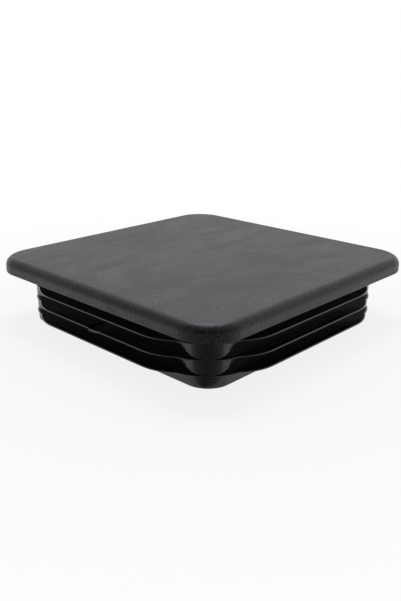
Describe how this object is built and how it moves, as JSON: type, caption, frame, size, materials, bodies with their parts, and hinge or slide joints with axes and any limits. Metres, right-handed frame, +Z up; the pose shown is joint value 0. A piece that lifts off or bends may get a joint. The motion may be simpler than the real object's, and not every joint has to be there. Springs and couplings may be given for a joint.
{
  "type": "tube end cap",
  "caption": "Square end cap for a square tube: a flat rounded head over a hollow plug with flexible gripping fins.",
  "frame": {"origin": "middle of the plug's bottom rim, which is the bottom centre of the whole part", "axes": "+Z up, out of the tube and through the head; sides along X and Y"},
  "size_m": [0.1, 0.1, 0.022],
  "materials": {
    "moulded_plastic": "fine matt texture on the head, glossy below it"
  },
  "bodies": {
    "root": {"end_cap": "moulded_plastic"}
  },
  "joints": []
}
